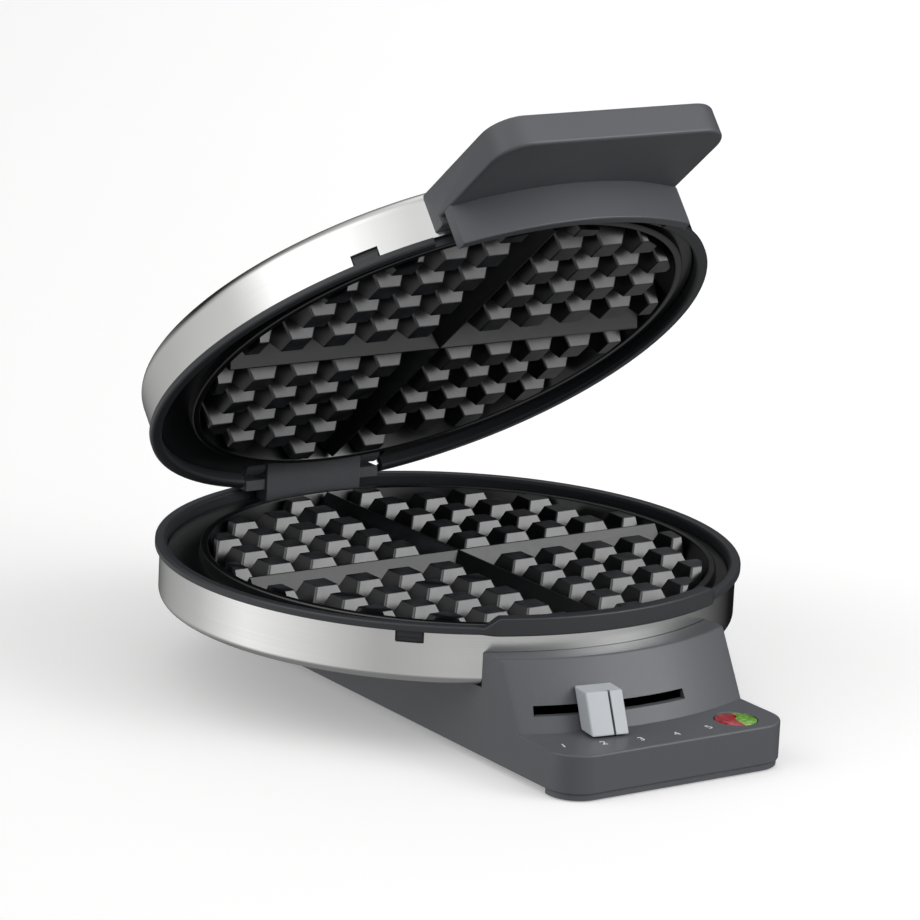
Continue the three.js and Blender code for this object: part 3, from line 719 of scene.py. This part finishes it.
# ---------- lower half ----------
def sheet(profile, angles, thickness, removed):
    """Pressed sheet round the axis. removed(angle, z) says which cells are punched out."""
    count = len(profile)
    normals = []
    for i in range(count):
        a = Vector(profile[max(i - 1, 0)])
        b = Vector(profile[min(i + 1, count - 1)])
        along = (b - a).normalized()
        normals.append((along.y, -along.x))
    back = [(r - n[0] * thickness, z - n[1] * thickness) for (r, z), n in zip(profile, normals)]
    back = [(max(r, 0.0), z) for r, z in back]
    around = len(angles)
    verts, faces = [], []
    for line in (profile, back):
        for r, z in line:
            verts += [(*polar(r, a), z) for a in angles]
    half = count * around
    cells = {}
    for i in range(count - 1):
        for k in range(around):
            nxt = (k + 1) % around
            width = (angles[nxt] - angles[k]) % 360
            if not removed(angles[k] + width / 2, (profile[i][1] + profile[i + 1][1]) / 2, i):
                cells[i, k] = (i * around + k, i * around + nxt, (i + 1) * around + nxt, (i + 1) * around + k)
    edges = {}
    for quad in cells.values():
        faces.append(quad)
        faces.append(tuple(v + half for v in reversed(quad)))
        for a, b in zip(quad, quad[1:] + quad[:1]):
            edges[a, b] = True
    for a, b in edges:
        if (b, a) not in edges:
            faces.append((b, a, a + half, b + half))
    obj = solid(verts, faces)
    work = bmesh.new()
    work.from_mesh(obj.data)
    bmesh.ops.remove_doubles(work, verts=work.verts, dist=1e-7)
    loose = [v for v in work.verts if not v.link_faces]
    bmesh.ops.delete(work, geom=loose, context="VERTS")
    bmesh.ops.recalc_face_normals(work, faces=work.faces)
    work.to_mesh(obj.data)
    work.free()
    return obj


def ring_angles(step, *marks):
    """Angles all round, with the marked ones exact."""
    marks = sorted(m % 360 for m in marks)
    plain = [k * step for k in range(round(360 / step))]
    clear = [a for a in plain if all(abs((a - m + 180) % 360 - 180) > step * 0.4 for m in marks)]
    return sorted(clear + marks)


def in_notch(angle):
    return any(abs((angle - a + 180) % 360 - 180) < NOTCH_HALF for a in TABS)


NOTCH_MARKS = [a + s * NOTCH_HALF for a in TABS for s in (-1, 1)]


def lower_pan():
    floor_r = SHELL_R - PAN_CORNER
    profile = [(9.0, PAN_BOTTOM), (30.0, PAN_BOTTOM), (31.2, PAN_BOTTOM + 0.8), (60.0, PAN_BOTTOM + 0.8),
               (61.2, PAN_BOTTOM), (floor_r - 2, PAN_BOTTOM)]
    profile += arc(floor_r, PAN_BOTTOM + PAN_CORNER, PAN_CORNER, -90, 0, 8)
    profile += [(SHELL_R, PAN_TOP - NOTCH_H), (SHELL_R, PAN_TOP)]
    pan = sheet(profile, ring_angles(1.5, *NOTCH_MARKS), SHELL_T,
                lambda a, z, i: z > PAN_TOP - NOTCH_H and in_notch(a))
    bevelled(pan, 0.15, 60)
    return place(pan, "lower_steel_band", "base", "brushed_steel", "lower_steel_shell")


LOW = RIM_TOP - LIP_H
RIM_IN = RIM_R - LIP_W
SKIRT_OUT = SHELL_R - SHELL_T - GAP
SHELF = FLANGE_TOP - FLANGE_T - GAP


def rim_ring():
    corners = [(RIM_IN, RIM_TOP, 1.3), (RIM_IN, SHELF, 0), (91.4, SHELF, 0), (91.4, SHELF - 1.6, 0.4),
               (SKIRT_OUT, SHELF - 1.6, 0.3), (SKIRT_OUT, LOW, 0), (RIM_R, LOW, 0.35), (RIM_R, RIM_TOP, 0.9)]
    return lathe(rounded(corners, 5))


def rim_tabs():
    tabs = []
    for a in TABS:
        spread = [a - TAB_HALF + 2 * TAB_HALF * k / 6 for k in range(7)]
        tabs.append(arc_bar([(t, SKIRT_OUT - 0.5, SHELL_R - 0.1, LOW - 2.4, LOW + 0.6, 0.4) for t in spread]))
    return tabs


def apron():
    """Raised front of the lower rim, flared out of the rim at both ends."""
    rows = []
    flare, slope = 4.6, 2.6
    start = APRON_HALF + flare
    angles = [-start + 2 * start * k / 122 for k in range(123)]
    for a in angles:
        past = abs(a) - APRON_HALF
        out = min(1.0, max(0.0, 1 - past / flare))
        out = out * out * (3 - 2 * out)
        up = min(1.0, max(0.0, 1 - past / slope))
        rows.append((a, APRON_IN, RIM_R - 0.15 + (APRON_OUT - RIM_R + 0.15) * out, LOW + 0.02,
                     RIM_TOP - 0.15 + (APRON_TOP - RIM_TOP + 0.15) * up, 0.55))
    return arc_bar(rows)


def lower_rim():
    body = join(rim_ring(), apron(), *rim_tabs())
    cut(body, box(-HINGE_HALF - GAP, HINGE_HALF + GAP, HINGE_Y - HINGE_R - GAP, 92, 0, 45.5))
    return place(body, "lower_rim_moulding", "base", "charcoal_plastic", "lower_rim", crease=40,
                 look="rim_plastic")


# ---------- cooking plates ----------
def square(half, corner, z, x, y):
    outline = rounded([(-half, -half, corner), (half, -half, corner),
                       (half, half, corner), (-half, half, corner)], 3)
    return [(x + u, y + v, z) for u, v in outline]


def stud(x, y):
    """Waffle stud: a square frustum with rounded edges, sunk a little into the floor."""
    floor = STUD_TOP - STUD_H
    slope = (STUD_BASE_W - STUD_TOP_W) / 2 / STUD_H
    edge, sink = 0.35, 0.6
    rows = [square(STUD_BASE_W / 2 + slope * sink, 0.9, floor - sink, x, y)]
    rows.append(square(STUD_BASE_W / 2 - slope * (STUD_H - edge), 0.7, STUD_TOP - edge, x, y))
    shoulder = STUD_BASE_W / 2 - slope * (STUD_H - edge)
    for k in (1, 2, 3):
        t = math.radians(30 * k)
        shrink = edge * (1 - math.cos(t)) * 0.72
        rows.append(square(shoulder - shrink - slope * edge * math.sin(t), 0.55 - 0.08 * k,
                           STUD_TOP - edge * (1 - math.sin(t)), x, y))
    return loft(rows)


def studs():
    solids = []
    for i in range(5):
        for j in range(5):
            x = STUD_FIRST + i * STUD_PITCH
            y = STUD_FIRST + j * STUD_PITCH
            if math.hypot(x - STUD_TOP_W / 2, y - STUD_TOP_W / 2) > WELL_R - 4:
                continue
            solids += [stud(sx * x, sy * y) for sx in (1, -1) for sy in (1, -1)]
    return soup(solids)


def ridge():
    """Dividing ridge along x with a narrow rounded crest."""
    floor = STUD_TOP - STUD_H
    base, top = RIDGE_BASE_W / 2 + 0.45, RIDGE_TOP_W / 2
    return sideways(rounded([(-base, floor - 0.6, 0), (base, floor - 0.6, 0), (top, STUD_TOP, 0.25),
                             (-top, STUD_TOP, 0.25)], 4), -WELL_R, WELL_R)


def cooking_plate():
    floor = STUD_TOP - STUD_H
    under = floor - CASTING_T
    seat = FLANGE_TOP - FLANGE_T
    corners = [(WELL_R + 3.3, under + 3, 1.0), (WELL_R + 3.3, seat, 0), (RING_R + 0.6, seat, 0),
               (RING_R, RING_TOP, 0.7), (RING_R - 2.4, RING_TOP, 0.6), (WELL_R, floor, 1.0)]
    profile = rounded([(0, floor, 0), (0, under, 0), (WELL_R - 1, under, 1.0)] + corners, 5)
    dish = lathe(profile[1:] + profile[:1])
    ridges = join(ridge(), turned(ridge(), 90))
    field = common(join(ridges, studs()), disc(WELL_R - 0.2, floor - 1, STUD_TOP + 1))
    dish = join(dish, field)
    dish.data.transform(Matrix.Translation((0, PLATE_Y * MM, 0)))
    flange = disc(PLATE_R, seat, FLANGE_TOP)
    cut(flange, disc(RING_R - 1, 30, 50, 0, PLATE_Y))
    join(dish, flange)
    cut(dish, box(-HINGE_HALF - 2 * GAP, HINGE_HALF + 2 * GAP, HINGE_Y - HINGE_R - 2 * GAP, 100, 30, 60))
    return dish


def turned(obj, degrees):
    obj.data.transform(Matrix.Rotation(math.radians(degrees), 4, "Z"))
    return obj


# ---------- hinge ----------
def hinge_post():
    side = [(HINGE_Y - HINGE_R, POST_LOW[2]), (91.6, POST_LOW[2]), (91.6, 45.3), (HINGE_Y + HINGE_R, 47.0)]
    side += arc(HINGE_Y, HINGE_Z, HINGE_R, 0, 180, 20)
    reach = HINGE_HALF + EAR_T
    ledge = [(HINGE_Y - HINGE_R + 1, RIM_TOP + GAP), (HINGE_Y + HINGE_R, RIM_TOP + GAP),
             (HINGE_Y + HINGE_R, HINGE_Z - HINGE_R - 2 * GAP),
             (HINGE_Y - HINGE_R + 1, HINGE_Z - HINGE_R - 2 * GAP)]
    post = join(sideways(side, -HINGE_HALF, HINGE_HALF, 0.4), sideways(ledge, -reach, reach, 0.4))
    cut(post, across([(0, -40), (PIN_R + GAP, -40), (PIN_R + GAP, 40), (0, 40)]))
    return place(post, "hinge_post_moulding", "base", "charcoal_plastic", "hinge_post")


def hinge_pin():
    x = PIN_HIGH[0]
    profile = [(0, -x), (PIN_R - 0.5, -x), (PIN_R, -x + 0.5), (PIN_R, x - 0.5), (PIN_R - 0.5, x), (0, x)]
    return place(across(profile), "hinge_pin_rod", "base", "plated_steel", "hinge_pin")


def lid_bracket():
    reach = HINGE_HALF + GAP + EAR_T
    side = [(79.4, 52.8), (84.6, 52.8), (HINGE_Y - 2.5, HINGE_Z - 5.2)]
    side += arc(HINGE_Y, HINGE_Z, HINGE_R, -115, 90, 20)
    side += [(83.4, HINGE_Z + HINGE_R), (79.4, 57.4)]
    blank = sideways(side, -reach, reach, 0.4)
    between = box(-HINGE_HALF - GAP, HINGE_HALF + GAP, HINGE_Y - HINGE_R - 2 * GAP, 110, 40, 80)
    cut(blank, between, across([(0, -40), (PIN_R + GAP, -40), (PIN_R + GAP, 40), (0, 40)]))
    return place(blank, "lid_hinge_knuckles", "lid", "charcoal_plastic", "lid_hinge_bracket")


# ---------- browning control ----------
def knob():
    z0, z1 = KNOB_Z
    back = [-(wall_radius(z) + 0.5) for z in KNOB_Z]
    front = [y - KNOB_DEPTH for y in back]
    side = [(back[1], z1), (front[1], z1), (front[0], z0), (back[0], z0)]
    body = bevelled(sideways(side, -KNOB_W / 2, KNOB_W / 2), 0.6, 30, 4)
    deep, past = 0.75, 1.0
    groove = [(front[0] - past, z0 - past), (front[0] + deep, z0 - past), (front[0] + deep, z0),
              (front[1] + deep, z1 - 0.4), (front[1] - past, z1 + past)]
    cut(body, sideways(groove, 1.2, 2.0), box(-3.8, 3.8, -116, 0, 20.4, 22.4))
    bevelled(body, 0.1, 50, 2)
    place(body, "browning_knob_cap", "browning_control", "silver_plastic", "browning_knob")
    # Painted shade: a black strip laid in the bottom of the groove, standing in for the shadow that falls in it.
    line = [(front[0] + 0.45, z0 + 0.3), (front[0] + deep, z0 + 0.3), (front[1] + deep, z1 - 0.7),
            (front[1] + 0.45, z1 - 0.7)]
    place(sideways(line, 1.22, 1.98), "browning_knob_groove_shade", "browning_control", "black_plastic")


# ---------- lamps ----------
def lens():
    """One round domed window in two colours, parted by an S-shaped line."""
    r = LENS_R
    turn = math.radians(LENS_TURN)
    edge = Vector((r * math.cos(turn), r * math.sin(turn)))
    control = Vector((-3, 3.2))
    wave = []
    steps = 16
    for k in range(1, steps):
        t = k / steps
        p = (-edge * (1 - t) ** 3 + control * 3 * t * (1 - t) ** 2
             - control * 3 * t * t * (1 - t) + edge * t ** 3)
        wave.append(tuple(p))
    colours = ((1, "red_lens", "indicator_lens_red"), (-1, "green_lens", "indicator_lens_green"))
    for side, slot, node in colours:
        rim = arc(0, 0, r, LENS_TURN, LENS_TURN + 180, 36)
        outline = [(side * u, side * v) for u, v in rim + wave]
        shift = Vector((-math.sin(turn), math.cos(turn))) * 0.06 * side
        outline = [(u + LENS[0] + shift.x, v + LENS[1] + shift.y) for u, v in outline]
        half = block(outline, LEDGE_Z - 2.6, LEDGE_Z + 1.2)
        dome = [(0, LEDGE_Z - 3), (r, LEDGE_Z - 3), (r, LEDGE_Z - 0.2), (r - 0.4, LEDGE_Z + 0.05),
                (r - 1.6, LEDGE_Z + 0.24), (r * 0.5, LEDGE_Z + 0.38), (r * 0.25, LEDGE_Z + 0.44),
                (0, LEDGE_Z + 0.46)]
        common(half, lathe(dome, 72, *LENS))
        place(half, f"{slot}_window", "base", slot, node, crease=50)


# ---------- lid ----------
LID_BASE = RIM_TOP + LID_LIFT
SHOULDER = LID_BASE + LID_H


def lid_shell():
    low = LID_BASE + LIP_H + GAP
    flat_r = SHELL_R - LID_CORNER
    arc_low = SHOULDER - LID_CORNER
    hinge_top = HINGE_Z + HINGE_R + 1
    hinge_turn = math.degrees(math.asin((hinge_top - arc_low) / LID_CORNER))
    profile = [(SHELL_R, low), (SHELL_R, low + NOTCH_H), (SHELL_R, arc_low)]
    turns = [hinge_turn] + [hinge_turn + (90 - hinge_turn) * k / 9 for k in range(1, 10)]
    for t in turns:
        a = math.radians(t)
        profile.append((flat_r + LID_CORNER * math.cos(a), arc_low + LID_CORNER * math.sin(a)))
    rings = 14
    for k in range(1, rings + 1):
        r = flat_r * (1 - k / rings)
        profile.append((r, SHOULDER + LID_CROWN * (1 - (r / flat_r) ** 2)))
    hinge_reach = math.degrees(math.asin(EAR_ROOM / SHELL_R))
    angles = ring_angles(1.5, *NOTCH_MARKS, 180 - hinge_reach, 180 + hinge_reach)

    def removed(a, z, i):
        return (i == 0 and in_notch(a)) or (z < hinge_top and abs(a % 360 - 180) < hinge_reach)

    shell = sheet(profile, angles, SHELL_T, removed)
    bores = [lying([(0, -100), (1.9, -100), (1.9, -80), (0, -80)], x, 58.4, 24) for x in (-30, 30)]
    cut(shell, *bores)
    bevelled(shell, 0.15, 60)
    return place(shell, "lid_steel_cover", "lid", "brushed_steel", "lid_steel_shell", crease=40)


def upper_rim():
    body = join(flip(rim_ring()), *[flip(t) for t in rim_tabs()])
    front = sector(94.6, 110, -28, 28, LID_BASE - 1, 49.6, 32)
    back = box(-EAR_ROOM, EAR_ROOM, HINGE_Y - HINGE_R - 2 * GAP, 110, 40, 60)
    cut(body, front, back)
    return place(body, "upper_rim_moulding", "lid", "charcoal_plastic", "upper_rim", crease=40,
                 look="rim_plastic")


def handle():
    z0, z1 = GRIP_Z
    grip = block(slab_outline(PED_HALF, GRIP_FRONT, -60, FRONT_CORNER, 1), z0, z1, 1.0, 1.3)
    reach = 32
    spread = [-reach + 2 * reach * k / 64 for k in range(65)]
    skirt = arc_bar([(a, SKIRT_R - SKIRT_T, SKIRT_R, SKIRT_FOOT, z0 + 0.35, 0.6) for a in spread])
    root = arc_bar([(a, SHELL_R - 4, SHELL_R + 4.4, 50.2, z0 + 2, 0.8) for a in spread])
    sides = box(-PED_HALF, PED_HALF, -140, -60, 30, 80)
    body = cut(join(grip, common(join(skirt, root), sides)), disc(SHELL_R + GAP, 30, 80))
    bores = [lying([(0, -104), (1.9, -104), (1.9, -80), (0, -80)], x, 58.4, 24) for x in (-30, 30)]
    cut(body, *bores)
    return place(body, "handle_moulding", "lid", "charcoal_plastic", "handle")


# ---------- build ----------
pedestal()
bottom_cover()
for place_name in ("left_front", "right_front", "left_rear", "right_rear"):
    foot(f"foot_{place_name}")
for i in range(1, 5):
    pan_head_screw(f"cover_screw_{i}")
for i in (1, 2):
    pan_head_screw(f"hinge_post_screw_{i}")
cord_bush()
digits()
lower_pan()
lower_rim()
place(cooking_plate(), "lower_plate_casting", "base", "nonstick_coating", "lower_cooking_plate")
hinge_post()
hinge_pin()
knob()
lens()
lid_shell()
upper_rim()
upper = flip(cooking_plate())
cut(upper, box(-EAR_ROOM, EAR_ROOM, HINGE_Y - HINGE_R - 2 * GAP, 100, 40, 60))
place(upper, "upper_plate_casting", "lid", "nonstick_coating", "upper_cooking_plate")
handle()
lid_bracket()

# CAD pieces whose shape stays: the inner parts and the control's lever
INNER = {row["node"]: row["material_slot"] for row in frame["record"]["subparts"]}
INNER["browning_lever"] = "black_plastic"
for node, obj in frame["nodes"].items():
    obj.data.materials.clear()
    obj.data.materials.append(FINISHES[INNER[node]])
    for face in obj.data.polygons:
        face.material_index = 0


# ---------- studio ----------
def floor_finish():
    """Pale paper sweep that glows with painted light: its emission is brightest towards the front right and dimmer
    towards the back left, and it lifts the shadows on it.
    """
    # Painted light: the floor glows through its emission, which lightens the shadows that fall on it.
    look = Look("studio_floor", 0.9, Specular_IOR_Level=0.1, Emission_Color=(1, 1, 1, 1))
    base = look.mix(look.noise(1.2, 2), (0.80, 0.80, 0.80), (0.83, 0.82, 0.82))
    # Painted light gradient: the emission strength falls off towards the back left and rises towards the front
    # right.
    axes = look.add("ShaderNodeSeparateXYZ", Vector=look.place).outputs
    leftward = look.math("SUBTRACT", look.math("MULTIPLY", axes[1], 0.57),
                         look.math("MULTIPLY", axes[0], 0.82))
    glow = look.math("SUBTRACT", 0.27, look.math("MULTIPLY", leftward, 0.24))
    glow = look.math("MINIMUM", look.math("MAXIMUM", glow, 0.12), 0.36)
    look.tree.links.new(glow, look.shader.inputs["Emission Strength"])
    return look.finish(base)


def studio_floor():
    mesh = bpy.data.meshes.new("studio_floor")
    reach = 9.0
    corners = [(-reach, -reach, 0), (reach, -reach, 0), (reach, reach, 0), (-reach, reach, 0)]
    mesh.from_pydata(corners, [], [(0, 1, 2, 3)])
    mesh.materials.append(floor_finish())
    floor = bpy.data.objects.new("studio_floor", mesh)
    bpy.context.scene.collection.objects.link(floor)
    floor.visible_glossy = False
    floor.visible_diffuse = False

# The studio. Azimuth 0 faces the dial and grows towards the object's right; all angles are in degrees.
# Walls stand round the object at its own height, where the steel mirrors them:
# azimuth, half width, brightness.
WALLS = {
    "left_window": (-120, 60, 1.0),
    "front_wall": (-30, 150, 0.7),
    "back_wall": (180, 30, 0.4),
}
WALL_HEIGHT = (-18, 26)          # middle and half height
WALL_FILL = 0.5                  # share of them that reaches matt surfaces
# Soft boxes: azimuth, half width, height, half height, brightness.
SOFT_BOXES = {
    "left_box": (-100, 60, 35, 45, 2.4),
    "key_light": (40, 30, 28, 20, 7.0),
    "right_fill": (35, 60, 12, 28, 1.5),
    "overhead_box": (10, 110, 50, 30, 1.4),
    "back_box": (155, 70, 55, 40, 1.1),
}
CEILING = 0.6
UNDERSIDE = 0.22


def studio_world():
    world = bpy.data.worlds.new("studio")
    bpy.context.scene.world = world
    world.use_nodes = True
    tree = world.node_tree

    def calc(operation, *values):
        node = tree.nodes.new("ShaderNodeMath")
        node.operation = operation
        for slot, value in zip(node.inputs, values):
            if isinstance(value, bpy.types.NodeSocket):
                tree.links.new(value, slot)
            else:
                slot.default_value = value
        return node.outputs[0]

    def window(value, centre, half):
        return calc("MAXIMUM", calc("SUBTRACT", 1, calc("DIVIDE", calc("ABSOLUTE", calc(
            "SUBTRACT", value, centre)), half)), 0)

    def slope(value, start, end):
        along = calc("DIVIDE", calc("SUBTRACT", value, start), end - start)
        return calc("MINIMUM", calc("MAXIMUM", along, 0), 1)

    ray = tree.nodes.new("ShaderNodeTexCoord").outputs["Generated"]
    parts = tree.nodes.new("ShaderNodeSeparateXYZ")
    tree.links.new(ray, parts.inputs[0])
    x, y, z = parts.outputs
    azimuth = calc("DEGREES", calc("ARCTAN2", x, calc("MULTIPLY", y, -1)))
    elevation = calc("DEGREES", calc("ARCSINE", z))

    def patch(turn, half_width, height, half_height, bright):
        off = calc("WRAP", calc("SUBTRACT", azimuth, turn), 180, -180)
        glow = calc("MULTIPLY", window(off, 0, half_width), window(elevation, height, half_height))
        return calc("MULTIPLY", glow, bright)

    total = 0
    for turn, half_width, bright in WALLS.values():
        total = calc("ADD", total, patch(turn, half_width, *WALL_HEIGHT, bright))
    matt = tree.nodes.new("ShaderNodeLightPath").outputs["Is Diffuse Ray"]
    share = calc("SUBTRACT", 1, calc("MULTIPLY", matt, 1 - WALL_FILL))
    total = calc("MULTIPLY", total, share)
    total = calc("ADD", total, calc("MULTIPLY", slope(elevation, 45, 75), CEILING))
    total = calc("ADD", total, calc("MULTIPLY", slope(elevation, -18, -48), UNDERSIDE))
    for box_light in SOFT_BOXES.values():
        total = calc("ADD", total, patch(*box_light))
    tree.links.new(total, tree.nodes["Background"].inputs["Color"])


def camera():
    """The photograph's viewpoint."""
    azimuth, elevation, roll = (math.radians(v) for v in (-34.7, 14.225, 2.75))
    target = Vector((3.17 * MM, BODY_Y * MM, 73.58 * MM))
    distance = 1.4774
    back = Vector((math.sin(azimuth) * math.cos(elevation), -math.cos(azimuth) * math.cos(elevation),
                   math.sin(elevation)))
    level = Vector((math.cos(azimuth), math.sin(azimuth), 0))
    upright = back.cross(level)
    right = level * math.cos(roll) + upright * math.sin(roll)
    up = upright * math.cos(roll) - level * math.sin(roll)
    data = bpy.data.cameras.new("camera")
    data.sensor_width = 36
    data.lens = 173.28
    obj = bpy.data.objects.new("camera", data)
    bpy.context.scene.collection.objects.link(obj)
    turn = Matrix((right, up, back)).transposed().to_4x4()
    obj.matrix_world = Matrix.Translation(target + back * distance) @ turn
    bpy.context.scene.camera = obj


studio_floor()
studio_world()
camera()
bpy.context.scene.view_settings.view_transform = "Standard"

bpy.context.view_layer.update()
